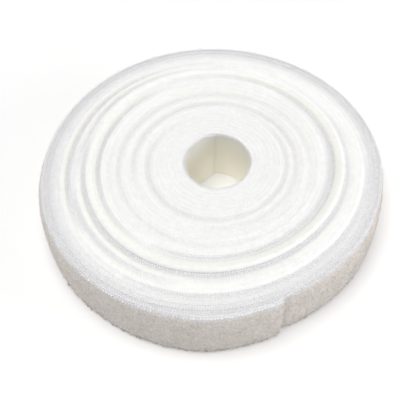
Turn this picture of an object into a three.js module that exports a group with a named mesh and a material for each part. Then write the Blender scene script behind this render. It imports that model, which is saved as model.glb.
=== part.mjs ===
// A flat roll of adhesive-backed loop tape, wound on itself without a core.
// Millimetres, +Z up. The roll lies on z = 0 with its bore upright, and its box is centred on the origin.

import * as THREE from 'three';

// Tape and liner
const TAPE_WIDTH = 25;
const TAPE_THICKNESS = 1.5;
const LINER_THICKNESS = 0.2;
const LINER_EDGE_INSET = 0.4;
const LINER_GAP = 0.3;

// Winding, from the cut end in the bore to the cut end outside
const BORE_RADIUS = 12;
const TURN_GAP = 0.4;
const FULL_TURNS = 21;
const INNER_END_AZIMUTH = 94;
const OUTER_END_AZIMUTH = 289;

// Lopsided swell of the soft roll at its outermost turn: waves round the roll, height and azimuth of a crest
const SWELLS = [
  { waves: 1, height: 2.5, crest: 212 },
  { waves: 2, height: 1.3, crest: 28 },
  { waves: 3, height: 0.5, crest: -4 },
];

// Height of the turns: most stand proud of a few that lie low, and each differs a little from the last
const PROUD_RISE = 1.2;
const LOW_TURNS = [6, 8, 11, 14, 16, 18, 20, 21];
const RISE_VARIATION = 0.25;
const RISE_VARIATION_STEP = 137.5;
const RISE_CHANGE = 0.25;
const FLATTENED_EDGE = 0.5;

// Free outer end, which lifts off the roll about an upright line on the face of the tape
const FREE_END_LENGTH = 32;
const PEEL_GAP = 0.3;

// Facets round one turn
const STEPS_PER_TURN = 24;
const OUTER_STEPS_PER_TURN = 72;
const STEP_ROUNDING = 1e-6;

const PITCH = TAPE_THICKNESS + LINER_GAP + LINER_THICKNESS + TURN_GAP;
const TURNS = FULL_TURNS + (OUTER_END_AZIMUTH - INNER_END_AZIMUTH) / 360;
const TAPE_BACK = LINER_THICKNESS + LINER_GAP;
const TAPE_FACE = TAPE_BACK + TAPE_THICKNESS;

// A place in the winding is the number of turns from the inner end
function azimuthAt(turn) {
  return THREE.MathUtils.degToRad(INNER_END_AZIMUTH + 360 * turn);
}

// Radius of the liner's inner face
function radiusAt(turn) {
  const share = turn / TURNS;
  const azimuth = azimuthAt(turn);
  let radius = BORE_RADIUS + PITCH * turn;
  for (const { waves, height, crest } of SWELLS) {
    radius += share * height * Math.cos(waves * (azimuth - THREE.MathUtils.degToRad(crest)));
  }
  return radius;
}

// Rise of one whole turn above the lowest
function riseOfTurn(index) {
  const proud = LOW_TURNS.includes(index) ? 0 : PROUD_RISE;
  const vary = Math.sin(THREE.MathUtils.degToRad(RISE_VARIATION_STEP * index));
  return proud + RISE_VARIATION * (1 + vary);
}

// The tape changes height over the first part of each turn
function riseAt(turn) {
  const index = Math.floor(turn);
  const before = riseOfTurn(Math.max(index - 1, 0));
  const mix = THREE.MathUtils.smoothstep(turn - index, 0, RISE_CHANGE);
  return THREE.MathUtils.lerp(before, riseOfTurn(index), mix);
}

// Places of the sections between two points of the winding, on steps that line up from turn to turn
function sectionPlaces(from, to, stepsAt) {
  const places = [from];
  let turn = from;
  while (turn < to) {
    const steps = stepsAt(turn);
    const next = (Math.floor(turn * steps + STEP_ROUNDING) + 1) / steps;
    turn = Math.min(next, to);
    places.push(turn);
  }
  return places;
}

// Four corners of a strip's section: back and face at the lower edge, then face and back at the upper edge
function sectionCorners(turn, strip) {
  const azimuth = azimuthAt(turn);
  const back = radiusAt(turn) + strip.back;
  const face = back + strip.thickness;
  const rise = riseAt(turn) - FLATTENED_EDGE;
  const low = Math.max(rise + strip.inset, strip.inset);
  const high = rise + TAPE_WIDTH - strip.inset;
  const corners = [[back, low], [face, low], [face, high], [back, high]];
  return corners.map(([r, z]) => new THREE.Vector3(r * Math.cos(azimuth), r * Math.sin(azimuth), z));
}

// One closed strip through its sections
function stripGeometry(places, strip) {
  const sections = places.map((turn) => sectionCorners(turn, strip));
  const sides = sections[0].length;
  const positions = sections.flat().flatMap((corner) => corner.toArray());
  const triangles = [];
  for (let s = 0; s + 1 < sections.length; s += 1) {
    for (let k = 0; k < sides; k += 1) {
      const a = s * sides + k;
      const b = s * sides + ((k + 1) % sides);
      triangles.push(a, a + sides, b, b, a + sides, b + sides);
    }
  }
  const last = (sections.length - 1) * sides;
  triangles.push(0, 1, 2, 0, 2, 3);
  triangles.push(last, last + 2, last + 1, last, last + 3, last + 2);
  const geometry = new THREE.BufferGeometry();
  geometry.setAttribute('position', new THREE.Float32BufferAttribute(positions, 3));
  geometry.setIndex(triangles);
  geometry.computeVertexNormals();
  return geometry;
}

// Least distance from a strip's face to its own back one turn further out, on corners and midway between them
function leastSelfGap(places, strip) {
  const midway = places.slice(1).map((turn, i) => (turn + places[i]) / 2);
  const pointAt = (turn, offset) => {
    const radius = radiusAt(turn) + offset;
    const azimuth = azimuthAt(turn);
    return new THREE.Vector2(radius * Math.cos(azimuth), radius * Math.sin(azimuth));
  };
  const end = places[places.length - 1];
  let least = Infinity;
  for (const turn of [...places, ...midway]) {
    if (turn + 1 <= end) {
      const face = pointAt(turn, strip.back + strip.thickness);
      least = Math.min(least, face.distanceTo(pointAt(turn + 1, strip.back)));
    }
  }
  return least;
}

const tape = { back: TAPE_BACK, thickness: TAPE_THICKNESS, inset: 0 };
const liner = { back: 0, thickness: LINER_THICKNESS, inset: LINER_EDGE_INSET };

// The peel line lies the free length back from the outer cut end
const outerCircumference = 2 * Math.PI * (radiusAt(TURNS) + TAPE_FACE);
const peelTurn = TURNS - FREE_END_LENGTH / outerCircumference;
const halfGap = PEEL_GAP / 2 / outerCircumference;
const coarse = () => STEPS_PER_TURN;
const fine = () => OUTER_STEPS_PER_TURN;
const fineOutside = (turn) => (turn < TURNS - 1 ? STEPS_PER_TURN : OUTER_STEPS_PER_TURN);

const woundTapePlaces = sectionPlaces(0, peelTurn - halfGap, fineOutside);
const woundLinerPlaces = sectionPlaces(0, peelTurn - halfGap, coarse);
const endPlaces = sectionPlaces(peelTurn + halfGap, TURNS, fine);

const pileWhite = new THREE.MeshStandardMaterial({ color: 0xf3f3f1, roughness: 1, metalness: 0 });
const linerCream = new THREE.MeshStandardMaterial({ color: 0xe9e3cf, roughness: 0.5, metalness: 0 });

function addStrip(group, name, places, strip, material) {
  const mesh = new THREE.Mesh(stripGeometry(places, strip), material.clone());
  mesh.name = name;
  group.add(mesh);
}

const roll = new THREE.Group();
addStrip(roll, 'wound_loop_tape', woundTapePlaces, tape, pileWhite);
addStrip(roll, 'wound_release_liner', woundLinerPlaces, liner, linerCream);
addStrip(roll, 'loop_tape_end', endPlaces, tape, pileWhite);
addStrip(roll, 'release_liner_end', endPlaces, liner, linerCream);

// Centre the box over the origin
const centre = new THREE.Box3().setFromObject(roll).getCenter(new THREE.Vector3());
roll.position.set(-centre.x, -centre.y, 0);

console.log('least gap of the tape to itself', leastSelfGap(woundTapePlaces, tape).toFixed(2), 'mm');
console.log('least gap of the liner to itself', leastSelfGap(woundLinerPlaces, liner).toFixed(2), 'mm');

export default roll;
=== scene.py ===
# %% [markdown]
# # A flat roll of loop tape
# This is the soft half of a hook and loop fastener: a long white woven tape with a pile of tiny
# loops on its face and a cream release liner on its sticky back. It is wound flat on itself
# without a core, and it lies on its side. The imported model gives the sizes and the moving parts.
# This script gives the roll its yarns, its pile and its light.

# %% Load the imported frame
import math

import bpy
import numpy as np
from mathutils import Matrix, Vector


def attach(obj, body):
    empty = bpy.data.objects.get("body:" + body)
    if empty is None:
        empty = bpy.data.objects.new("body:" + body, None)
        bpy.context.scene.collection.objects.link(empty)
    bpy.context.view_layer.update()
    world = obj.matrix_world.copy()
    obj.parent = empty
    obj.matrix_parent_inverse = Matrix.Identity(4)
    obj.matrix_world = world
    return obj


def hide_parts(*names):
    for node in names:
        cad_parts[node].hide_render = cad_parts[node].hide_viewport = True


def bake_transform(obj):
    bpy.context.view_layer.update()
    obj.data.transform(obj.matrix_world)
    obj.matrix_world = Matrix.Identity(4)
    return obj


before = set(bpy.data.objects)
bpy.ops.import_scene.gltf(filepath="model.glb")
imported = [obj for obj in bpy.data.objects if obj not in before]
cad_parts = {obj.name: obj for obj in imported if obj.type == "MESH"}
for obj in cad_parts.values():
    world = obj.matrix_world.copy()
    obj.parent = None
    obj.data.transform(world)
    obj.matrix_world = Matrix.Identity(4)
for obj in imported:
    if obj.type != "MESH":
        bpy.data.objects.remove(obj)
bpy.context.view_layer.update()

MM = 0.001

# %% [markdown]
# ## Camera
# The photo looks down on the roll at about 55 degrees, from so near that the front of the roll
# looks larger than its back. A camera can be placed by eye, but here its distance, height and
# lens were measured from the roll's outline.

# %% Camera
BORE_AXIS = Vector((2.2715, 1.9078, 0.0)) * MM
RIM_HEIGHT = 24.8 * MM
LOOK_AT = BORE_AXIS + Vector((-6.95 * MM, -17.93 * MM, RIM_HEIGHT))
CAMERA_DISTANCE = 257.1 * MM
CAMERA_ELEVATION = math.radians(55.1)
CAMERA_ROLL = math.radians(-0.88)
LENS = 63.0
SENSOR = 36.0
CLIP_START = 10 * MM
scene = bpy.context.scene


def added(name, data):
    """Puts an object with this data into the scene."""
    thing = bpy.data.objects.new(name, data)
    scene.collection.objects.link(thing)
    return thing


def facing(place, direction):
    """The matrix of a camera or lamp that stands at a place and looks back along a direction."""
    turn = direction.to_track_quat("Z", "Y").to_matrix().to_4x4()
    return Matrix.Translation(place) @ turn


camera_data = bpy.data.cameras.new("photo_camera")
camera_data.lens = LENS
camera_data.sensor_width = SENSOR
camera_data.clip_start = CLIP_START
camera = added("photo_camera", camera_data)
towards = Vector((0, -math.cos(CAMERA_ELEVATION), math.sin(CAMERA_ELEVATION)))
camera_place = facing(LOOK_AT + towards * CAMERA_DISTANCE, towards)
camera.matrix_world = camera_place @ Matrix.Rotation(CAMERA_ROLL, 4, "Z")
scene.camera = camera
print("camera at", [round(c / MM) for c in camera.matrix_world.translation], "mm")

# %% [markdown]
# ## Adding nodes
# Finishes and Geometry Nodes trees are both made of nodes and links. They could be drawn in the
# node editor, but a script shows every value at a glance. One helper adds any node, and a few
# short ones stand for the nodes that come back often.

# %% Adding nodes


def put(tree, kind, wires=None, **options):
    """Adds a node, sets its options, links or fills its inputs, and gives its outputs."""
    node = tree.nodes.new(kind)
    for option, value in options.items():
        setattr(node, option, value)
    for label, value in (wires or {}).items():
        if isinstance(label, int):
            socket = node.inputs[label]
        else:
            socket = next(s for s in node.inputs if s.name == label and not s.is_unavailable)
        if isinstance(value, bpy.types.NodeSocket):
            tree.links.new(value, socket)
        else:
            socket.default_value = value
    return [s for s in node.outputs if not s.is_unavailable]


def calc(tree, operation, *values, **options):
    return put(tree, "ShaderNodeMath", dict(enumerate(values)), operation=operation, **options)[0]


def times(tree, first, second):
    return calc(tree, "MULTIPLY", first, second)


def minus(tree, first, second):
    return calc(tree, "SUBTRACT", first, second)


def times_plus(tree, first, second, more):
    return calc(tree, "MULTIPLY_ADD", first, second, more)


def ramped(tree, value, start, end, low=0.0, high=1.0):
    """Goes from low to high while a value goes from start to end."""
    ends = {"Value": value, "From Min": start, "From Max": end, "To Min": low, "To Max": high}
    return put(tree, "ShaderNodeMapRange", ends)[0]


def own_place(tree):
    """Where a point of a finish lies in its object's own coordinates."""
    return tree.nodes.new("ShaderNodeTexCoord").outputs["Object"]


print("node helpers ready")

# %% [markdown]
# ## Floor, light and background
# White tape on a white floor is a product photographer's setting: one large soft light overhead,
# a weak low one from the right, and a pale floor that throws light back at the sides. The lamps
# are kept at a level where a white of 0.9 renders as 0.9. The roll could be cut out and laid on
# white, but then its shadow would be lost. So for the camera alone the floor gives part of its
# white as its own light.

# %% Floor and background
FLOOR_SIZE = 8.0
FLOOR_WHITE = 0.95
SEEN_FLOOR_WHITE = 0.86
SEEN_FLOOR_GLOW = 0.13
GLOW_NEAR, GLOW_FAR = 0.14, 0.6
BORE_NEAR, BORE_FAR = 0.016, 0.03
SKY_COLOUR = (0.98, 0.985, 1.0, 1.0)
SKY_STRENGTH = 0.32


def show_seen(tree, lighting, seen, output):
    """Shows one shader to the camera, mirrors and glass, and lights the scene by another."""
    path = tree.nodes.new("ShaderNodeLightPath").outputs
    direct = calc(tree, "MAXIMUM", path["Is Camera Ray"], path["Is Glossy Ray"])
    direct = calc(tree, "MAXIMUM", direct, path["Is Transmission Ray"])
    choice = put(tree, "ShaderNodeMixShader", {0: direct, 1: lighting, 2: seen})[0]
    put(tree, output, {"Surface": choice})


def matt(tree, white):
    return put(tree, "ShaderNodeBsdfDiffuse", {"Color": (white, white, white, 1)})[0]


def paint_floor():
    paint = bpy.data.materials.new("pale_floor")
    paint.use_nodes = True
    tree = paint.node_tree
    tree.nodes.clear()
    away = put(tree, "ShaderNodeVectorMath", {0: own_place(tree)}, operation="LENGTH")[-1]
    # past the reach of the lamps the floor shows all of its own white, and in the bore none
    far_glow = ramped(tree, away, GLOW_NEAR, GLOW_FAR, SEEN_FLOOR_GLOW)
    strength = times(tree, far_glow, ramped(tree, away, BORE_NEAR, BORE_FAR))
    glow = put(tree, "ShaderNodeEmission", {"Strength": strength})[0]
    seen = put(tree, "ShaderNodeAddShader", {0: matt(tree, SEEN_FLOOR_WHITE), 1: glow})[0]
    show_seen(tree, matt(tree, FLOOR_WHITE), seen, "ShaderNodeOutputMaterial")
    return paint


half = FLOOR_SIZE / 2
floor_mesh = bpy.data.meshes.new("floor")
floor_corners = [(-half, -half, 0), (half, -half, 0), (half, half, 0), (-half, half, 0)]
floor_mesh.from_pydata(floor_corners, [], [(0, 1, 2, 3)])
floor_mesh.materials.append(paint_floor())
floor = added("floor", floor_mesh)

sky = bpy.data.worlds.new("studio")
sky.use_nodes = True
scene.world = sky
sky_tree = sky.node_tree
sky_tree.nodes.clear()
dim = put(sky_tree, "ShaderNodeBackground", {"Color": SKY_COLOUR, "Strength": SKY_STRENGTH})[0]
white = put(sky_tree, "ShaderNodeBackground", {"Color": (1, 1, 1, 1), "Strength": 1.0})[0]
show_seen(sky_tree, dim, white, "ShaderNodeOutputWorld")
scene.view_settings.view_transform = "Standard"
print("floor", FLOOR_SIZE, "m, sky", SKY_STRENGTH)

# %% Lamps
# place and size in metres, power in watts, colour
LAMPS = {
    "softbox": (Vector((-0.17, -0.08, 1.1)), 0.7, 9.1, (1.0, 1.0, 0.99)),
    "right_fill": (Vector((0.85, -0.15, 0.2)), 0.6, 3.3, (1.0, 0.99, 0.98)),
}

for name, (place, size, power, colour) in LAMPS.items():
    lamp = bpy.data.lights.new(name, "AREA")
    lamp.shape = "SQUARE"
    lamp.size, lamp.energy, lamp.color = size, power, colour
    added(name, lamp).matrix_world = facing(place, place)
    print(name, power, "W")

# %% [markdown]
# ## The rule of the winding
# A roll is one strip along a spiral. The spiral could be drawn by hand, but a rule is surer: the
# radius grows by one wound thickness each turn, and soft tape adds a few broad swells that grow
# with the radius. The first stretch in the bore is stiff and stays straight.

# %% The radius of the winding
# lengths in mm, azimuths in degrees, places in turns from the inner end
BORE_RADIUS = 11.85
OUTER_RADIUS = 63.2
FULL_TURNS = 28
INNER_END = 94.0
OUTER_END = 289.0
TURNS = FULL_TURNS + (OUTER_END - INNER_END) / 360
PITCH = (OUTER_RADIUS - BORE_RADIUS) / TURNS
# waves round the roll, height at the outermost turn, azimuth of a crest
SWELLS = ((1, 2.5, 212), (2, 1.3, 28), (3, 0.5, -4))
BORE_SHIFT, BORE_SHIFT_AZIMUTH = 0.6, 215.0
DRIFT, DRIFT_AZIMUTH, DRIFT_TURN, DRIFT_REACH = 1.0, 90.0, 19.0, 6.0
END_PRESS, END_PRESS_REACH = 1.05, 0.13
END_BULGE, END_BULGE_TURN, END_BULGE_REACH = 0.7, 28.478, 0.05


def azimuth_of(turn):
    return np.radians(INNER_END + 360 * turn)


def smooth_step(value, start, end):
    share = np.clip((value - start) / (end - start), 0, 1)
    return share * share * (3 - 2 * share)


def hump(turn, middle, reach):
    """One at its middle, and nought from its reach on."""
    return np.cos(math.pi / 2 * np.clip((turn - middle) / reach, -1, 1)) ** 2


def liner_radius(turn):
    """Radius in mm of the liner's inner face, at a place counted in turns from the inner end."""
    azimuth = azimuth_of(turn)
    share = turn / TURNS
    radius = BORE_RADIUS + PITCH * turn
    for waves, height, crest in SWELLS:
        radius = radius + share * height * np.cos(waves * (azimuth - math.radians(crest)))
    shift = (1 - share) * BORE_SHIFT
    radius = radius + shift * np.cos(azimuth - math.radians(BORE_SHIFT_AZIMUTH))
    drift = DRIFT * hump(turn, DRIFT_TURN, DRIFT_REACH)
    radius = radius + drift * np.cos(azimuth - math.radians(DRIFT_AZIMUTH))
    radius = radius + END_PRESS * (1 - smooth_step(turn, 0, END_PRESS_REACH))
    return radius + END_BULGE * hump(turn, END_BULGE_TURN, END_BULGE_REACH)


print("turns", round(TURNS, 2), "with a pitch of", round(PITCH, 3), "mm")

# %% Places along the winding
LINER_THICKNESS = 0.12
ADHESIVE = 0.04
GROUND_THICKNESS = 0.5
GROUND_BACK = LINER_THICKNESS + ADHESIVE
PILE_BACK = GROUND_BACK + GROUND_THICKNESS
# the straight inner end: distance from the axis, azimuth, and where it has bent to the round
FLAT_DISTANCE, FLAT_AZIMUTH, FLAT_END = 10.4, 129.0, 0.25
FLAT_WIDEST, FLAT_EASED_FROM = 80, 0.6 * FLAT_END
OUTWARD_STEP = 1e-4


def lean_of(turn):
    """How far in mm the lower edge of the stiff inner end leans into the bore."""
    flat_angle = np.clip(360 * turn + INNER_END - FLAT_AZIMUTH, -FLAT_WIDEST, FLAT_WIDEST)
    flat = FLAT_DISTANCE / np.cos(np.radians(flat_angle))
    lean = np.maximum(liner_radius(turn) - flat, 0)
    return np.where(turn < FLAT_END, lean * smooth_step(-turn, -FLAT_END, -FLAT_EASED_FROM), 0)


def place_of(turn):
    radius, azimuth = liner_radius(turn), azimuth_of(turn)
    flat = [radius * np.cos(azimuth), radius * np.sin(azimuth), np.zeros_like(radius)]
    return np.stack(flat, -1) * MM + np.array(BORE_AXIS)


def outward_of(turn):
    along = place_of(turn + OUTWARD_STEP) - place_of(turn - OUTWARD_STEP)
    along /= np.linalg.norm(along, axis=-1, keepdims=True)
    return np.stack([along[:, 1], -along[:, 0], np.zeros(len(along))], -1)


def pitch_of(turn):
    """Distance in mm from one turn to the next."""
    return liner_radius(turn + 1) - liner_radius(turn)


def pressed_pile(turn):
    """Thickness in mm that the next turn leaves for the pile."""
    return pitch_of(turn) - PILE_BACK


def strip_length(start, end, steps=20000):
    chords = np.diff(place_of(np.linspace(start, end, steps)), axis=0)
    return float(np.linalg.norm(chords, axis=1).sum())


pressed = pressed_pile(np.arange(0.3, TURNS - 1, 0.02))
print("tape", round(strip_length(0, TURNS), 2), "m, pressed pile", pressed.min().round(2), "to",
      pressed.max().round(2), "mm")

# %% [markdown]
# ## Crests and grooves
# As the tape was wound it slipped down in places, and the turns wound over a slip climb back bit
# by bit. That makes the grooves of the top face. They could be sculpted, but a list of places and
# depths is easier to compare with the photo. A turn that lies low is in its neighbours' shade, so
# its pile gets painted shade, and a turn that climbs above the one inside it is tinted cream.

# %% Crests and grooves
# height of the tape above its lowest place: place in turns, and mm
RISES = (
    (0, 0.5), (6, 0.6), (10, 0.7), (14, 0.85), (16, 1.0), (18, 1.5), (19.5, 1.8), (20.3, 1.4),
    (21, 1.2), (22.5, 1.55), (23.3, 1.3), (24, 1.2), (25, 0.8), (26, 0.6), (27, 0.4), (29, 0.35),
)
# where the tape slipped down: place in turns, and depth in mm
SLIPS = (
    (7.03, 0), (7.13, 0.45), (7.22, 0.7), (7.3, 0.75), (7.5, 0.7), (7.65, 0.75), (7.8, 0.7),
    (7.88, 0.45), (7.96, 0), (9.36, 0), (9.48, 0.65), (9.63, 0.7), (9.72, 0.8), (9.83, 1.0),
    (9.95, 0.8), (10.05, 0.9), (10.2, 0.85), (10.33, 0.55), (10.42, 0), (12.62, 0), (12.72, 0.6),
    (12.8, 0.8), (12.95, 0.85), (13.05, 0.85), (13.2, 0.9), (13.35, 0.7), (13.5, 0.55),
    (13.6, 0.4), (13.7, 0), (15.1, 0), (15.25, 0.6), (15.45, 0.5), (15.6, 0.6), (15.72, 0.6),
    (15.8, 0), (16.36, 0), (16.44, 0.8), (16.55, 0.85), (16.65, 0.8), (16.75, 0.9), (16.85, 0.8),
    (16.93, 0.4), (17, 0.4), (17.06, 0.8), (17.12, 1.2), (17.22, 1.4), (17.32, 1.1), (17.42, 0.4),
    (17.5, 0.35), (17.6, 0.6), (17.67, 0.9), (17.75, 1.05), (17.83, 1.15), (17.92, 1.2),
    (18, 0.9), (18.08, 0.4), (18.15, 0), (20.14, 0), (20.26, 1.0), (20.35, 1.6), (20.47, 1.5),
    (20.54, 1.1), (20.62, 0.9), (20.7, 0.8), (20.77, 0.7), (20.85, 0.4), (20.92, 0.2), (21, 0.5),
    (21.1, 0.9), (21.18, 0.9), (21.3, -0.3), (21.4, -0.4), (21.5, 0), (21.6, 0), (21.72, 0.35),
    (21.8, 0.5), (21.87, 0.2), (21.93, 0), (22.13, 0), (22.25, 1.1), (22.33, 1.5), (22.4, 1.3),
    (22.48, 0.5), (22.56, 0.2), (22.7, 0.3), (22.8, 0.25), (22.88, 0.5), (22.96, 0.5),
    (23.03, 0.8), (23.12, 1.2), (23.21, 1.4), (23.29, 1.2), (23.36, 0.4), (23.42, 0), (24.05, 0),
    (24.17, -0.4), (24.26, -0.5), (24.36, 0.5), (24.44, 0.72), (24.5, 0.65), (24.56, 0.6),
    (24.62, 0.58), (24.7, 0.5), (24.76, 0.2), (24.8, 0), (25.62, 0), (25.72, 0.35), (25.9, 0.4),
    (26, 0.25), (26.1, 0),
)
# share of a slip that shows on its own turn and on the turns wound over it
SLIP_TAIL = (1.0, 0.45, 0.18)


def listed(points, turn):
    """A value read from a list of places and values, eased from one place to the next."""
    places, values = np.array(points, float).T
    after = np.clip(np.searchsorted(places, turn), 1, len(places) - 1)
    share = smooth_step(turn, places[after - 1], places[after])
    return values[after - 1] * (1 - share) + values[after] * share


def rise_of(turn):
    """Height in mm of the tape above its lowest place."""
    slipped = sum(share * listed(SLIPS, turn - later) for later, share in enumerate(SLIP_TAIL))
    return listed(RISES, turn) - slipped


rises = rise_of(np.arange(0, TURNS, 0.02))
print("turns rise", rises.min().round(2), "to", rises.max().round(2), "mm")

# %% Ease, shade and cream of the turns
EASED_FALL, FALL_KEPT = (0.4, 1.0), 0.12
EASED_CLIMB = (1.5, 2.5)
SUNKEN_DEPTH, SUNKEN_SHADE = 0.9, 0.8
CREST_FALL, CREST_TURNS = 0.36, (-3, -2, -1, 1, 2, 3)
CLIMB_DEPTH = 1.2
# painted shade of the turns by themselves: some on the inner turns, none on the high middle ones,
# and most on the loose outer ones
TURN_PAINTED_SHADES = (
    (0, 0.18), (5.5, 0.18), (7, 0.16), (14, 0.14), (16, 0.08), (17.5, 0), (23.6, 0), (24.6, 0.2),
    (25.5, 0.35), (26.3, 0.48), (27.2, 0.75), (29, 0.75),
)


def ease_of(inner, outer):
    """How far two turns ease into each other.

    Fully where they are nearly level, less where the outer one drops, not where it climbs far.
    """
    drop = FALL_KEPT * smooth_step(inner - outer, *EASED_FALL)
    return 1 - drop - smooth_step(outer - inner, *EASED_CLIMB)


def shade_of(turn):
    """How much painted shade the pile gets: more on turns sunken below a crest nearby, and on loose
    ones.
    """
    own = rise_of(turn)
    crest = own
    for away in CREST_TURNS:
        near = rise_of(np.clip(turn + away, 0, TURNS))
        crest = np.maximum(crest, near - CREST_FALL * abs(away))
    sunken = np.clip((crest - own) / SUNKEN_DEPTH, 0, 1)
    return SUNKEN_SHADE * sunken + listed(TURN_PAINTED_SHADES, turn)


def climb_of(inner, outer):
    """How much cream tint the outer one of two turns gets where it climbs, from 0 to 1."""
    return np.clip((outer - inner) / CLIMB_DEPTH, 0, 1)


def neighbours(values_of, turn):
    """A value at a place of the tape, on the turn inside it and on the turn outside it."""
    own = values_of(turn)
    inner = np.where(turn < 1, own, values_of(turn - 1))
    outer = np.where(turn + 1 > TURNS, own, values_of(turn + 1))
    return own, inner, outer


shades = shade_of(np.arange(0, TURNS, 0.02))
print("shade", shades.min().round(2), "to", shades.max().round(2))

# %% [markdown]
# ## Chains of points and node trees
# Everything that follows the tape is made with Geometry Nodes. Each tree is a small machine with
# named inputs: a chain of points goes in, and a strip, a row of yarns or a field of loops comes
# out. The modifier could stay on the object, but here the result is kept as a plain mesh.

# %% Node trees


def new_tree(name, *floats, ints=()):
    """A tree that takes geometry, named numbers and a finish, and these inputs."""
    tree = bpy.data.node_groups.new(name, "GeometryNodeTree")
    new_socket = tree.interface.new_socket
    new_socket("Geometry", in_out="OUTPUT", socket_type="NodeSocketGeometry")
    kinds = {"Geometry": ["Geometry"], "Float": floats, "Int": ints, "Material": ["Finish"]}
    for kind, labels in kinds.items():
        for label in labels:
            new_socket(label, in_out="INPUT", socket_type="NodeSocket" + kind)
    return tree, tree.nodes.new("NodeGroupInput").outputs


def make(name, start_mesh, tree, **sizes):
    """Runs a tree on a mesh and keeps what comes out as a plain mesh object."""
    maker = added("maker", start_mesh)
    modifier = maker.modifiers.new("maker", "NODES")
    modifier.node_group = tree
    for item in tree.interface.items_tree:
        label = item.name.replace(" ", "_")
        if item.in_out == "INPUT" and label in sizes:
            modifier[item.identifier] = sizes[label]
    depsgraph = bpy.context.evaluated_depsgraph_get()
    mesh = bpy.data.meshes.new_from_object(maker.evaluated_get(depsgraph))
    bpy.data.objects.remove(maker)
    mesh.name = name
    mesh.calc_loop_triangles()
    print(name, len(mesh.loop_triangles), "triangles")
    return added(name, mesh)


print("tree helpers ready")

# %% A chain of points along the tape
TAPE_WIDTH = 25.0
LOWEST_EDGE = 0.5
SHARP_FALL = (0.1, 0.5)
VECTOR = "FLOAT_VECTOR"


def turns_between(start, end, steps_per_turn):
    first, last = math.floor(start * steps_per_turn) + 1, math.ceil(end * steps_per_turn)
    inner = np.arange(first, last) / steps_per_turn
    return np.concatenate([[start], inner[(inner > start) & (inner < end)], [end]])


def tape_chain(name, turns, back, depth, inset, hidden):
    """A chain of points along the winding, with what a strip needs to know at each of them.

    A hidden strip never stands above the turn inside it.
    """
    places = place_of(turns)
    rise, inner_rise, outer_rise = neighbours(rise_of, turns)
    shade, inner_shade, outer_shade = neighbours(shade_of, turns)
    inner_climb, outer_climb = climb_of(inner_rise, rise), climb_of(rise, outer_rise)
    inner_ease, outer_ease = ease_of(inner_rise, rise), ease_of(rise, outer_rise)
    inner_level = 1 - smooth_step(inner_rise - rise, *SHARP_FALL)
    outer_level = 1 - smooth_step(rise - outer_rise, *SHARP_FALL)
    top = TAPE_WIDTH - inset - LOWEST_EDGE
    if hidden:
        rise = inner_rise = outer_rise = np.minimum(rise, inner_rise)
    steps = np.linalg.norm(np.diff(places, axis=0), axis=1)
    values = {
        "back": np.broadcast_to(back, turns.shape) * MM,
        "depth": np.broadcast_to(depth, turns.shape) * MM,
        "low": np.maximum(rise - LOWEST_EDGE, 0) * MM + inset * MM,
        "high": (rise + top) * MM,
        "high_in": (rise + inner_ease * (inner_rise - rise) / 2 + top) * MM,
        "high_out": (rise + outer_ease * (outer_rise - rise) / 2 + top) * MM,
        "lean": lean_of(turns) * MM,
        "pitch": pitch_of(turns) * MM,
        "shade": shade,
        "shade_in": shade + inner_level * (inner_shade - shade) / 2,
        "shade_out": shade + outer_level * (outer_shade - shade) / 2,
        "cream": (inner_climb + outer_climb) / 2,
        "cream_in": inner_climb,
        "cream_out": outer_climb,
        # the painted shade of a turn by itself, which also stands for how loose it is
        "loose": listed(TURN_PAINTED_SHADES, turns),
        "along": np.concatenate([[0], np.cumsum(steps)]),
    }
    mesh = bpy.data.meshes.new(name)
    mesh.from_pydata(places.tolist(), [(i, i + 1) for i in range(len(turns) - 1)], [])
    for label, numbers in values.items():
        attribute = mesh.attributes.new(label, "FLOAT", "POINT")
        attribute.data.foreach_set("value", numbers.astype(np.float32))
    for label, vectors in (("place", places), ("outward", outward_of(turns))):
        attribute = mesh.attributes.new(label, VECTOR, "POINT")
        attribute.data.foreach_set("vector", vectors.astype(np.float32).ravel())
    return mesh


def along_tape(name, tree, turns, back, depth, inset, hidden=False, **sizes):
    """Runs a tree on a chain of its own."""
    chain = tape_chain(name + "_chain", turns, back, depth, inset, hidden)
    return make(name, chain, tree, **sizes)


print("chain helpers ready")

# %% Places on the tape


def vector_of(tree, **parts):
    return put(tree, "ShaderNodeCombineXYZ", parts)[0]


def lengthen(tree, vector, factor):
    wires = {"Vector": vector, "Scale": factor}
    return put(tree, "ShaderNodeVectorMath", wires, operation="SCALE")[0]


def total_of(tree, first, second):
    return put(tree, "ShaderNodeVectorMath", {0: first, 1: second}, operation="ADD")[0]


def carried(tree, name, kind="FLOAT"):
    """A value that the chain of points carries."""
    return put(tree, "GeometryNodeInputNamedAttribute", {"Name": name}, data_type=kind)[0]


def stored(tree, shape, name, value, kind="FLOAT", domain="POINT"):
    wires = {"Geometry": shape, "Name": name, "Value": value}
    return put(tree, "GeometryNodeStoreNamedAttribute", wires, data_type=kind, domain=domain)[0]


def reach_of(tree, across):
    """How far out from the path a place lies: across is 0 at the strip's back, 1 at its face."""
    return times_plus(tree, across, carried(tree, "depth"), carried(tree, "back"))


def eased(tree, name, reach):
    """A value that goes over the tape from its inner to its outer edge along a parabola."""
    share = calc(tree, "DIVIDE", reach, carried(tree, "pitch"), use_clamp=True)
    rest = minus(tree, 1.0, share)
    twice = minus(tree, calc(tree, "ADD", share, share), 1.0)
    outer = times(tree, share, twice)
    inner = times(tree, rest, times(tree, twice, -1.0))
    middle = times(tree, times(tree, share, rest), 4.0)
    value = times(tree, middle, carried(tree, name))
    value = times_plus(tree, outer, carried(tree, name + "_out"), value)
    return times_plus(tree, inner, carried(tree, name + "_in"), value)


def tinted(tree, shape, across):
    """Stores how shaded and how cream the tape is at each point."""
    reach = reach_of(tree, across)
    for name in ("shade", "cream"):
        shape = stored(tree, shape, name, eased(tree, name, reach))
    return shape


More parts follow.
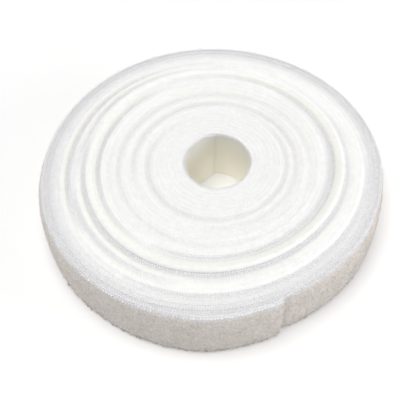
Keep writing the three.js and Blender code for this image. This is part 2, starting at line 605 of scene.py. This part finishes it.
def on_tape(tree, across, level):
    """A place on the tape, with level from 0 at its lower edge to 1 at its upper edge."""
    reach = reach_of(tree, across)
    leaning = times(tree, carried(tree, "lean"), minus(tree, 1.0, level))
    low, high = carried(tree, "low"), eased(tree, "high", reach)
    height = times_plus(tree, level, minus(tree, high, low), low)
    out = minus(tree, reach, leaning)
    sideways = lengthen(tree, carried(tree, "outward", VECTOR), out)
    foot = total_of(tree, carried(tree, "place", VECTOR), sideways)
    return total_of(tree, foot, vector_of(tree, Z=height))


print("places on the tape ready")

# %% The last nodes of a tree
SHARP_ANGLE = math.radians(50)


def less(tree, first, second):
    wires = {"A": first, "B": second}
    return put(tree, "FunctionNodeCompare", wires, data_type="FLOAT", operation="LESS_THAN")[0]


def finished(tree, shape, given):
    """The last nodes of a tree: real meshes, smooth with sharp edges, and a finish."""
    shape = put(tree, "GeometryNodeRealizeInstances", {"Geometry": shape})[0]
    wires = {"Geometry": shape, "Shade Smooth": True}
    shape = put(tree, "GeometryNodeSetShadeSmooth", wires)[0]
    bend = put(tree, "GeometryNodeInputMeshEdgeAngle")[0]
    wires = {"Geometry": shape, "Shade Smooth": less(tree, bend, SHARP_ANGLE)}
    shape = put(tree, "GeometryNodeSetShadeSmooth", wires, domain="EDGE")[0]
    wires = {"Geometry": shape, "Material": given["Finish"]}
    shape = put(tree, "GeometryNodeSetMaterial", wires)[0]
    put(tree, "NodeGroupOutput", {0: shape})
    return tree


print("edges over", round(math.degrees(SHARP_ANGLE)), "degrees stay sharp")

# %% [markdown]
# ## Finishes
# The tape is white nylon: a flat woven ground and a dull, fleecy pile. Neither is one flat white.
# The pile gets painted shade where it lies low among the turns, the free fleece is warmer, and the
# liner is a smooth cream film with a faint satin. A photo of cloth could be mapped on, but noise on
# the object's own coordinates works at any distance.

# %% Steps of a finish
CLOUD_EDGES, CLOUD_ROUGHNESS = (0.35, 0.65), 0.6
GRAIN_SIZE, GRAIN_DETAIL, GRAIN_GAIN, GRAIN_SHIFT = 0.5 * MM, 2.0, 2.4, -0.2
FUZZ_DETAIL = 3.0
CREAM_TINT = (1.0, 0.996, 0.92, 1)


def painted(tree, name, kind="Fac"):
    """A value that the mesh carries, as a finish sees it."""
    node = tree.nodes.new("ShaderNodeAttribute")
    node.attribute_name = name
    return node.outputs[kind]


def mixed(tree, share, first, second, blend="MIX"):
    wires = {"Factor": share, "A": first, "B": second}
    return put(tree, "ShaderNodeMix", wires, data_type="RGBA", blend_type=blend)[0]


def noise_of(tree, place, scale, detail, **more):
    wires = {"Vector": place, "Scale": scale, "Detail": detail, **more}
    return put(tree, "ShaderNodeTexNoise", wires)[0]


def mottle(tree, size, detail, dark, light):
    """Cloudy colour between two tones, with clouds of a given size in metres."""
    noise = noise_of(tree, own_place(tree), 1 / size, detail, Roughness=CLOUD_ROUGHNESS)
    ramp = tree.nodes.new("ShaderNodeValToRGB")
    for stop, position, tone in zip(ramp.color_ramp.elements, CLOUD_EDGES, (dark, light)):
        stop.position = position
        stop.color = (*tone, 1)
    tree.links.new(noise, ramp.inputs[0])
    return ramp.outputs[0]


def shaded(tree, colour, painted_shade_colour):
    """Turns a colour to cream, and towards a painted shade colour, as far as the tape says here."""
    colour = mixed(tree, painted(tree, "cream"), colour, CREAM_TINT, "MULTIPLY")
    grain = noise_of(tree, own_place(tree), 1 / GRAIN_SIZE, GRAIN_DETAIL)
    grain = times_plus(tree, grain, GRAIN_GAIN, GRAIN_SHIFT)
    shade = times(tree, painted(tree, "shade"), grain)
    return mixed(tree, shade, colour, (*painted_shade_colour, 1))


def new_finish(name, tones, *steps, fuzz=None, **values):
    """A finish with cloudy tones, steps that turn them further, and a bump of fuzz."""
    finish = bpy.data.materials.new(name)
    finish.use_nodes = True
    tree = finish.node_tree
    shader = tree.nodes["Principled BSDF"]
    for label, value in values.items():
        shader.inputs[label.replace("_", " ")].default_value = value
    colour = mottle(tree, *tones)
    for step, *more in steps:
        colour = step(tree, colour, *more)
    tree.links.new(colour, shader.inputs["Base Color"])
    if fuzz:
        size, strength, distance = fuzz
        noise = noise_of(tree, own_place(tree), 1 / size, FUZZ_DETAIL)
        wires = {"Height": noise, "Strength": strength, "Distance": distance}
        tree.links.new(put(tree, "ShaderNodeBump", wires)[0], shader.inputs["Normal"])
    print("finish", name)
    return finish


print("steps of a finish ready")

# %% Pile and fleece
# painted shade colour of the pile, where a turn lies low in its neighbours' shade
PILE_PAINTED_SHADE = (0.62, 0.613, 0.63)
FLEECE_TONES = (0.9 * MM, 3.0, (0.64, 0.60, 0.565), (0.86, 0.81, 0.77))
# painted light on the upper shoulder of the fleece and painted shade along its lower hem
SHOULDER, SHOULDER_PAINTED_LIGHT = (-0.82, -1.0), (0.87, 0.865, 0.875)
HEM, HEM_PAINTED_SHADE = (0.8, 1.0), (0.47, 0.41, 0.37)
PILE_FACE, LAST_LOOSE = (0.97, 0.988), (0.7, 0.74)
DULL = dict(Roughness=1.0, Specular_IOR_Level=0.1, Sheen_Weight=0.15, Sheen_Roughness=0.6)
YARN = dict(Roughness=0.9, Specular_IOR_Level=0.2, Sheen_Weight=0.15, Sheen_Roughness=0.5)


def parts_of(tree, vector):
    return put(tree, "ShaderNodeSeparateXYZ", {0: vector})


def fleecy_face(tree, colour):
    """Gives the face of the pile under the free end the colour of the fleece."""
    across = parts_of(tree, painted(tree, "section", "Vector"))[0]
    on_last = ramped(tree, painted(tree, "loose"), *LAST_LOOSE)
    share = times(tree, ramped(tree, across, *PILE_FACE), on_last)
    return mixed(tree, share, colour, mottle(tree, *FLEECE_TONES))


def shouldered(tree, colour):
    """Paints light on the fleece's upper shoulder, and shade along its lower edge where it turns
    under.
    """
    across = parts_of(tree, painted(tree, "section", "Vector"))[1]
    for ends, tone in ((SHOULDER, SHOULDER_PAINTED_LIGHT), (HEM, HEM_PAINTED_SHADE)):
        colour = mixed(tree, ramped(tree, across, *ends), colour, (*tone, 1))
    return colour


pile_finish = new_finish(
    "wound_pile", (2.2 * MM, 4.0, (0.905, 0.90, 0.89), (0.955, 0.955, 0.95)),
    (shaded, PILE_PAINTED_SHADE), (fleecy_face,), fuzz=(0.35 * MM, 0.5, 0.15 * MM), **DULL)
fleece_finish = new_finish(
    "outer_fleece", FLEECE_TONES, (shouldered,), fuzz=(0.35 * MM, 0.6, 0.2 * MM), **DULL)
curl_finish = new_finish(
    "fleece_loop", (1.4 * MM, 3.0, (0.70, 0.655, 0.62), (0.87, 0.825, 0.79)), (shouldered,), **YARN)
loop_finish = new_finish(
    "loop_yarn", (3.5 * MM, 2.0, (0.91, 0.905, 0.895), (0.96, 0.96, 0.955)),
    (shaded, PILE_PAINTED_SHADE), **YARN)

# %% Ground, picks and liner
GROUND_SHADE = (0.78, 0.78, 0.79)
PICK_SHADE = (0.91, 0.91, 0.935)
PALE_LINER = (0.99, 0.982, 0.955)
PALE_FROM, PALE_TO = 16 * MM, 25 * MM


def paler_upwards(tree, colour):
    """Light comes down through the white tape, so the liner is paler towards its upper edge."""
    height = parts_of(tree, painted(tree, "tape_map", "Vector"))[1]
    return mixed(tree, ramped(tree, height, PALE_FROM, PALE_TO), colour, (*PALE_LINER, 1))


ground_finish = new_finish(
    "woven_ground", (1.2 * MM, 3.0, (0.90, 0.90, 0.895), (0.94, 0.94, 0.94)),
    (shaded, GROUND_SHADE), fuzz=(0.3 * MM, 0.4, 0.1 * MM), Roughness=0.85, Specular_IOR_Level=0.2)
pick_finish = new_finish(
    "edge_picks", (1.5 * MM, 2.0, (0.91, 0.91, 0.93), (0.95, 0.95, 0.96)),
    (shaded, PICK_SHADE), Roughness=0.7, Specular_IOR_Level=0.3)
liner_finish = new_finish(
    "cream_liner", (9 * MM, 2.0, (0.968, 0.936, 0.812), (0.98, 0.95, 0.835)),
    (paler_upwards,), Roughness=0.42, Specular_IOR_Level=0.4)

# %% [markdown]
# ## Strips along the winding
# The woven ground, the pressed pile and the liner are three thin strips that share one path. A
# strip could be drawn as a curve with a bevel, but then its thickness couldn't change where the
# pile is crushed. Here a rounded section is swept along the chain, and each of its points is then
# set by the rule: so far out from the path, and so high.

# %% The tree of a strip


def here(tree):
    return put(tree, "GeometryNodeInputPosition")[0]


def placed(tree, shape, **where):
    return put(tree, "GeometryNodeSetPosition", {"Geometry": shape, **where})[0]


def ring_of(tree, points, radius):
    wires = {"Resolution": points, "Radius": radius}
    return put(tree, "GeometryNodeCurvePrimitiveCircle", wires)[0]


def chain_path(tree, given):
    return put(tree, "GeometryNodeMeshToCurve", {"Mesh": given["Geometry"]})[0]


def swept(tree, path, section):
    wires = {"Curve": path, "Profile Curve": section, "Fill Caps": True}
    return put(tree, "GeometryNodeCurveToMesh", wires)[0]


def strip_tree():
    tree, given = new_tree(
        "strip_along_tape", "Crown", "Squareness", ints=["Section Points"])
    ring = ring_of(tree, given["Section Points"], 1.0)
    half_step = vector_of(tree, Z=calc(tree, "DIVIDE", math.pi, given["Section Points"]))
    ring = put(tree, "GeometryNodeTransform", {"Geometry": ring, "Rotation": half_step})[0]
    x, y, _ = parts_of(tree, here(tree))
    power = calc(tree, "DIVIDE", 2.0, given["Squareness"])
    sizes = [calc(tree, "POWER", calc(tree, "ABSOLUTE", value), power) for value in (x, y)]
    u = times(tree, calc(tree, "SIGN", x), sizes[0])
    section = vector_of(tree, X=u, Y=sizes[1], Z=calc(tree, "SIGN", y))
    ring = stored(tree, ring, "section", section, VECTOR)
    strip = swept(tree, chain_path(tree, given), ring)
    u, cap, side = parts_of(tree, carried(tree, "section", VECTOR))
    across = times_plus(tree, u, 0.5, 0.5)
    # the crown is a height in metres, as a share of the strip's height here
    height = minus(tree, carried(tree, "high"), carried(tree, "low"))
    crown = calc(tree, "DIVIDE", given["Crown"], height)
    drop = times(tree, crown, minus(tree, 1.0, cap))
    half = minus(tree, 0.5, drop)
    level = times_plus(tree, side, times(tree, half, -1.0), 0.5)
    strip = placed(tree, strip, Position=on_tape(tree, across, level))
    strip = tinted(tree, strip, across)
    up = times(tree, level, TAPE_WIDTH * MM)
    flat = vector_of(tree, X=carried(tree, "along"), Y=up)
    strip = stored(tree, strip, "tape_map", flat, "FLOAT2", "CORNER")
    return finished(tree, strip, given)


strip = strip_tree()
print("strip tree has", len(strip.nodes), "nodes")

# %% Ground, liner and pile
STEPS_PER_TURN = 120
PEEL_AZIMUTH = 260.6
PEEL_TURN = FULL_TURNS + (PEEL_AZIMUTH - INNER_END) / 360
LAST_PRESSED = TURNS - 1
LINER_INSET = 0.1
GROUND_INSET = 0.06
PILE_OVERLAP = 0.04
UNDER_FLEECE = 0.5
PILE_SPREADS = (1.0, 1.05)
FLEECE_TAKES_OVER = (LAST_PRESSED + 0.004, LAST_PRESSED + 0.012)
GROUND = dict(Section_Points=8, Crown=0.06 * MM, Squareness=3.0, Finish=ground_finish)
LINER = dict(Section_Points=8, Crown=0.03 * MM, Squareness=3.0, Finish=liner_finish)
PILE = dict(Section_Points=16, Crown=0.005 * MM, Squareness=4.0, Finish=pile_finish)

wound = turns_between(0, PEEL_TURN, STEPS_PER_TURN)
woven_ground = along_tape(
    "woven_ground", strip, wound, GROUND_BACK, GROUND_THICKNESS, GROUND_INSET, **GROUND)
release_liner = along_tape(
    "release_liner", strip, wound, 0.0, LINER_THICKNESS, LINER_INSET, hidden=True, **LINER)
# from the second turn on, the pile spreads over the edges of the ground and the liner
pile_back = PILE_BACK - (PILE_BACK + PILE_OVERLAP) * smooth_step(wound, *PILE_SPREADS)
# on the outermost turn it goes on under the fleece
under_fleece = smooth_step(wound, *FLEECE_TAKES_OVER)
pressed_face = pitch_of(wound) + PILE_OVERLAP
pile_face = (1 - under_fleece) * pressed_face + under_fleece * (PILE_BACK + UNDER_FLEECE)
wound_pile = along_tape(
    "wound_pile", strip, wound, pile_back, pile_face - pile_back, 0.0, **PILE)

# %% [markdown]
# ## The fleece on the outermost turn
# Where no further turn presses on it, the pile stands up as a soft fleece about 2 mm deep. It
# could be grown as hair, but hair isn't a mesh that other programs can use. So a rounded mat is
# swept along the outermost turn and pushed about by noise of two sizes, with a third that makes
# its lower hem ragged.

# %% The tree of the fleece
CROWDING = 0.3
HEM_REACH = (0.6, 0.95)
EDGE_PUSH = 7.0
FLOOR_CLEARANCE = 0.02 * MM


def fleece_tree():
    tree, given = new_tree(
        "fleecy_mat", "Upper Roundness", "Lower Roundness", "Lump Size", "Lump Height",
        "Curl Size", "Curl Height", "Hem Size", "Hem Height", ints=["Points Across"])
    ends = {"Start": (0, -1, 0), "End": (0, 1, 0)}
    line = put(tree, "GeometryNodeCurvePrimitiveLine", ends)[0]
    wires = {"Curve": line, "Count": given["Points Across"]}
    line = put(tree, "GeometryNodeResampleCurve", wires)[0]
    y = parts_of(tree, here(tree))[1]
    # points crowd towards the two edges, where the mat curves in
    crowd = times_plus(tree, times(tree, y, y), -CROWDING, 1 + CROWDING)
    v = times(tree, y, crowd)
    # the section is turned over, so that its first half is the upper edge
    wires = {"Switch": less(tree, v, 0.0),
             "False": given["Lower Roundness"], "True": given["Upper Roundness"]}
    roundness = put(tree, "GeometryNodeSwitch", wires, input_type="FLOAT")[0]
    edge = calc(tree, "POWER", calc(tree, "ABSOLUTE", v), roundness)
    inside = calc(tree, "MAXIMUM", minus(tree, 1.0, edge), 0.0)
    u = calc(tree, "POWER", inside, calc(tree, "DIVIDE", 1.0, roundness))
    line = stored(tree, line, "section", vector_of(tree, X=u, Y=v), VECTOR)
    ring = put(tree, "GeometryNodeSetSplineCyclic", {"Geometry": line, "Cyclic": True})[0]
    mat = swept(tree, chain_path(tree, given), ring)
    u, v, _ = parts_of(tree, carried(tree, "section", VECTOR))
    level = times_plus(tree, v, -0.5, 0.5)
    mat = placed(tree, mat, Position=on_tape(tree, u, level))
    place = here(tree)

    def swing(name):
        """Noise of a named size, from minus to plus a named height."""
        noise = noise_of(tree, place, calc(tree, "DIVIDE", 1.0, given[name + " Size"]), 1.0)
        both_ways = times_plus(tree, noise, 2.0, -1.0)
        return times(tree, both_ways, given[name + " Height"])

    push = calc(tree, "ADD", swing("Lump"), swing("Curl"))
    # the hem only pokes outwards, so that it never shows through the ground
    ragged = calc(tree, "MAXIMUM", swing("Hem"), 0.0)
    ragged = times(tree, ragged, ramped(tree, v, *HEM_REACH))
    out = times_plus(tree, push, u, ragged)
    sideways = lengthen(tree, carried(tree, "outward", VECTOR), out)
    upward = times(tree, calc(tree, "POWER", v, EDGE_PUSH), -1.0)
    lift = vector_of(tree, Z=times(tree, push, upward))
    mat = placed(tree, mat, Offset=total_of(tree, sideways, lift))
    x, y, z = parts_of(tree, place)
    above = calc(tree, "MAXIMUM", z, FLOOR_CLEARANCE)
    mat = placed(tree, mat, Position=vector_of(tree, X=x, Y=y, Z=above))
    return finished(tree, mat, given)


fleece = fleece_tree()
print("fleece tree has", len(fleece.nodes), "nodes")

# %% The fleece
FREE_PILE = 1.9
OUTER_CIRCUMFERENCE = 2 * math.pi * OUTER_RADIUS
FLEECE_STEP = 0.4
FLEECE_INSET = 0.1
FREE_START = 4.0
END_TAPER, END_FLAT = 4.0, 0.3
# where the fleece is deeper or flatter: place and reach in turns, and mm
FLEECE_SWELLS = ((27.635, 0.10, 0.9), (28.255, 0.09, 1.0), (28.385, 0.06, -0.7))
FLEECE = dict(
    Points_Across=72, Upper_Roundness=2.0, Lower_Roundness=3.5,
    Lump_Size=3 * MM, Lump_Height=0.25 * MM, Curl_Size=0.7 * MM, Curl_Height=0.45 * MM,
    Hem_Size=1.4 * MM, Hem_Height=1.7 * MM, Finish=fleece_finish)
fleece_steps = round(OUTER_CIRCUMFERENCE / FLEECE_STEP)


def fleece_depth(turns):
    share = smooth_step((turns - LAST_PRESSED) * OUTER_CIRCUMFERENCE, 0, FREE_START)
    to_end = (TURNS - turns) * OUTER_CIRCUMFERENCE
    depth = np.full(turns.shape, FREE_PILE)
    for middle, reach, more in FLEECE_SWELLS:
        depth += more * hump(turns, middle, reach)
    depth *= 1 - END_FLAT * (1 - smooth_step(to_end, 0, END_TAPER))
    return pressed_pile(turns) * (1 - share) + depth * share


def fleece_piece(name, start, end):
    turns = turns_between(start, end, fleece_steps)
    return along_tape(name, fleece, turns, PILE_BACK, fleece_depth(turns), FLEECE_INSET, **FLEECE)


outer_fleece = fleece_piece("outer_fleece", LAST_PRESSED, PEEL_TURN)
end_fleece = fleece_piece("end_fleece", PEEL_TURN, TURNS)

# %% [markdown]
# ## Loops on the fleece
# What a hook catches is a loop: a small arch of yarn that stands at its own angle. Loops could be
# drawn in the finish, but then the outline would be smooth. Here they are sown on the mat as real
# arches, by chance but with a fixed seed, so that they fall in the same places each time.

# %% Loops on the fleece
ARCH_POINTS, YARN_SIDES = 5, 3
LOOP_SIZES = ("Loop Width", "Loop Height", "Yarn Radius")
# loops keep off the mat's back and off its hem, which lies on the floor
SOWN_FROM, SOWN_TO = 0.3, 0.93
LOOP_SPREAD = (0.7, 1.25)


def yarn_loop(tree, given):
    """One arch of yarn that stands on the ground plane."""
    wires = {"Resolution": ARCH_POINTS, "Radius": 1.0, "Sweep Angle": math.pi}
    arc = put(tree, "GeometryNodeCurveArc", wires)[0]
    x, y, _ = parts_of(tree, here(tree))
    side = times(tree, times(tree, x, 0.5), given["Loop Width"])
    up = times(tree, y, given["Loop Height"])
    arch = placed(tree, arc, Position=vector_of(tree, X=side, Z=up))
    return swept(tree, arch, ring_of(tree, YARN_SIDES, given["Yarn Radius"]))


def chance(tree, low, high, seed, kind="FLOAT"):
    wires = {"Min": low, "Max": high, "Seed": seed}
    return put(tree, "FunctionNodeRandomValue", wires, data_type=kind)[0]


def sown_tree():
    tree, given = new_tree("sown_loops", "Density", "Tilt", *LOOP_SIZES, ints=["Seed"])
    u, v, _ = parts_of(tree, carried(tree, "section", VECTOR))
    off_back, off_floor = less(tree, SOWN_FROM, u), less(tree, v, SOWN_TO)
    sown_on = put(tree, "FunctionNodeBooleanMath", {0: off_back, 1: off_floor}, operation="AND")[0]
    tilt, seed = given["Tilt"], given["Seed"]
    wires = {"Mesh": given["Geometry"], "Selection": sown_on, "Seed": seed,
             "Density": given["Density"]}
    points, _, rotation = put(tree, "GeometryNodeDistributePointsOnFaces", wires)
    most = vector_of(tree, X=tilt, Y=tilt, Z=math.tau)
    least = lengthen(tree, vector_of(tree, X=tilt, Y=tilt), -1.0)
    spin = chance(tree, least, most, seed, VECTOR)
    spin = put(tree, "FunctionNodeEulerToRotation", {0: spin})[0]
    wires = {"Rotation": rotation, "Rotate By": spin}
    turned = put(tree, "FunctionNodeRotateRotation", wires, rotation_space="LOCAL")[0]
    wires = {"Points": points, "Instance": yarn_loop(tree, given), "Rotation": turned,
             "Scale": chance(tree, *LOOP_SPREAD, seed)}
    loops = put(tree, "GeometryNodeInstanceOnPoints", wires)[0]
    return finished(tree, loops, given)


sown = sown_tree()
LOOP = dict(Loop_Width=0.55 * MM, Loop_Height=0.4 * MM, Yarn_Radius=0.06 * MM, Tilt=0.7,
            Finish=curl_finish)
# loops on a square metre: two fields on the roll, and one as dense as both on the end
HALF_FIELD, FULL_FIELD = 7.5e5, 15.0e5
outer_loops = [
    make("outer_loops_%d" % n, outer_fleece.data, sown, Density=HALF_FIELD, Seed=n, **LOOP)
    for n in (1, 2)]
end_loops = make("end_loops", end_fleece.data, sown, Density=FULL_FIELD, Seed=3, **LOOP)

# %% [markdown]
# ## The edges of the turns
# On the top face only the edges of the tape show. The woven edge is a row of small picks where
# the cross yarn turns back, and beside it the pile pokes out in tufts. They could be modelled one
# by one, but they repeat thousands of times along the same spiral. So they are rows of one small
# shape on points that a tree spaces evenly along the chain, with a little chance in each.

# %% The tree of a row
PICK_SIZES = ("Pick Width", "Pick Length", "Pick Height")
LIFT_SPREAD, ITEM_SPREAD = (0.2, 1.0), (0.75, 1.2)
LIFT_SEED, ITEM_SEED, LEAN_SEEDS = 7, 5, (11, 12, 13)


def edge_tree(name, shape, *sizes):
    tree, given = new_tree(
        name, "Spacing", "Level", "Nearest", "Farthest", "Lift", "Loose Lift", "Tilt", "Swing",
        *sizes, ints=["Seed"])
    wires = {"Curve": chain_path(tree, given), "Length": given["Spacing"]}
    row = put(tree, "GeometryNodeResampleCurve", wires, mode="LENGTH")[0]
    across = chance(tree, given["Nearest"], given["Farthest"], given["Seed"])
    loose_lift = times(tree, given["Loose Lift"], carried(tree, "loose"))
    share = chance(tree, *LIFT_SPREAD, LIFT_SEED)
    lift = times_plus(tree, given["Lift"], share, loose_lift)
    place = on_tape(tree, across, given["Level"])
    row = placed(tree, row, Position=total_of(tree, place, vector_of(tree, Z=lift)))
    row = tinted(tree, row, across)
    x, y, _ = parts_of(tree, carried(tree, "outward", VECTOR))
    heading = calc(tree, "ARCTAN2", y, x)
    # a row on the lower edge hangs upside down
    flipped = times_plus(tree, given["Level"], -math.pi, math.pi)
    backward = times(tree, given["Tilt"], -1.0)
    lean = [chance(tree, backward, given["Tilt"], seed) for seed in LEAN_SEEDS]
    swung = times_plus(tree, lean[2], given["Swing"], heading)
    turn = vector_of(tree, X=calc(tree, "ADD", lean[0], flipped), Y=lean[1], Z=swung)
    turned = put(tree, "FunctionNodeEulerToRotation", {0: turn})[0]
    wires = {"Points": row, "Instance": shape(tree, given), "Rotation": turned,
             "Scale": chance(tree, *ITEM_SPREAD, ITEM_SEED)}
    items = put(tree, "GeometryNodeInstanceOnPoints", wires)[0]
    return finished(tree, items, given)


def woven_pick(tree, given):
    """The small bead that a cross yarn makes where it turns back at the edge."""
    bead = put(tree, "GeometryNodeMeshIcoSphere", {"Radius": 1.0, "Subdivisions": 1})[0]
    width, length, height = (given[label] for label in PICK_SIZES)
    size = vector_of(tree, X=width, Y=length, Z=height)
    return put(tree, "GeometryNodeTransform", {"Geometry": bead, "Scale": size})[0]


pick_row = edge_tree("row_of_picks", woven_pick, *PICK_SIZES)
tuft_row = edge_tree("row_of_tufts", yarn_loop, *LOOP_SIZES)
print("pick and tuft trees have", len(pick_row.nodes), "and", len(tuft_row.nodes), "nodes")

# %% Picks
EDGE_STEPS = 240
UPPER, LOWER = 1.0, 0.02
LOOSE_LIFT = 0.5 * MM
# back, depth and inset of a row
GROUND_EDGE = (GROUND_BACK, GROUND_THICKNESS, 0.0)
PICK = dict(
    Spacing=0.9 * MM, Nearest=0.35, Farthest=0.65, Tilt=0.15, Swing=1.0, Seed=21,
    Finish=pick_finish, Pick_Width=0.33 * MM, Pick_Length=0.29 * MM, Pick_Height=0.24 * MM)
# a last row stands out on the shoulder of the fleece
RIM_EDGE = (PILE_BACK + 0.3, 0.5, FLEECE_INSET)
RIM = dict(
    PICK, Spacing=1.1 * MM, Tilt=0.3, Lift=-0.4 * MM,
    Pick_Width=0.4 * MM, Pick_Length=0.36 * MM, Pick_Height=0.3 * MM)


def picks(name, start, end, edge, **sizes):
    return along_tape(name, pick_row, turns_between(start, end, EDGE_STEPS), *edge, **sizes)


upper_picks = picks("upper_picks", 0, PEEL_TURN, GROUND_EDGE, Level=UPPER, Lift=-0.08 * MM,
                    Loose_Lift=LOOSE_LIFT, **PICK)
lower_picks = picks("lower_picks", 0, PEEL_TURN, GROUND_EDGE, Level=LOWER, **PICK)
end_picks = picks("end_picks", PEEL_TURN, TURNS, GROUND_EDGE, Level=UPPER, Lift=-0.15 * MM,
                  Loose_Lift=LOOSE_LIFT, **PICK)
rim_picks = picks("rim_picks", LAST_PRESSED, PEEL_TURN, RIM_EDGE, Level=UPPER, **RIM)
end_rim_picks = picks("end_rim_picks", PEEL_TURN, TURNS, RIM_EDGE, Level=UPPER, **RIM)

# %% Tufts
TUFT_INSET = 0.15
TUFT_SPLIT = 17.0
TUFTED_FLEECE = 0.6 * FREE_PILE
TUFT = dict(
    Nearest=0.0, Farthest=1.0, Tilt=0.6, Swing=5.0, Seed=22, Finish=loop_finish,
    Loop_Width=0.5 * MM, Loop_Height=0.25 * MM, Yarn_Radius=0.08 * MM)
# fine loops fringe the rim of the bore
FRINGE = dict(
    TUFT, Nearest=-0.12, Farthest=0.1, Tilt=1.4, Seed=23, Lift=-0.3 * MM,
    Loop_Width=0.7 * MM, Loop_Height=0.9 * MM, Yarn_Radius=0.05 * MM)


def tufts(name, start, end, spacing, level=UPPER, sizes=TUFT):
    turns = turns_between(start, end, EDGE_STEPS)
    depth = np.where(turns < LAST_PRESSED, pitch_of(turns), PILE_BACK + TUFTED_FLEECE)
    return along_tape(name, tuft_row, turns, 0.0, depth, TUFT_INSET, Level=level,
                      Spacing=spacing * MM, **sizes)


bore_fringe = tufts("bore_fringe", 0, 1.0, 0.16, sizes=FRINGE)
inner_tufts = tufts("inner_tufts", 0, TUFT_SPLIT, 0.5)
outer_tufts = tufts("outer_tufts", TUFT_SPLIT, PEEL_TURN, 0.55)
lower_tufts = tufts("lower_tufts", 0, PEEL_TURN, 1.0, LOWER)
end_tufts = tufts("end_tufts", PEEL_TURN, TURNS, 0.55)

# %% [markdown]
# ## The free end
# The last stretch of tape can be lifted and its liner peeled off. In the imported model it is a
# stiff flap. Here its pieces are swept along the winding like the rest of the tape, and each is
# kept as a plain mesh where it lies.

# %% The free end
END_STEPS_PER_TURN = STEPS_PER_TURN * 3

end_turns = turns_between(PEEL_TURN, TURNS, END_STEPS_PER_TURN)
end_ground = along_tape(
    "end_ground", strip, end_turns, GROUND_BACK, GROUND_THICKNESS, 0.0, **GROUND)
end_liner = along_tape(
    "end_liner", strip, end_turns, 0.0, LINER_THICKNESS, LINER_INSET, **LINER)

on_roll = [woven_ground, release_liner, wound_pile, outer_fleece, *outer_loops, upper_picks,
           lower_picks, rim_picks, bore_fringe, inner_tufts, outer_tufts, lower_tufts]
on_end = [end_ground, end_fleece, end_loops, end_picks, end_rim_picks, end_tufts]
for piece in on_roll:
    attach(piece, "roll")
for piece in on_end:
    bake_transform(piece)
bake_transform(end_liner)
print(len(on_roll), "pieces on the roll,", len(on_end) + 1, "on its free end")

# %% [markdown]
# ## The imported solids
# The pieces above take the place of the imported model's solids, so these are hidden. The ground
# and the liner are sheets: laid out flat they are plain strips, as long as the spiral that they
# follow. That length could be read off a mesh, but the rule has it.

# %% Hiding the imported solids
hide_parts("wound_loop_tape")
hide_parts("wound_loop_tape")
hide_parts("wound_loop_tape")
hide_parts("loop_tape_end")
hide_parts("loop_tape_end")
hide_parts("wound_release_liner")
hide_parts("release_liner_end")
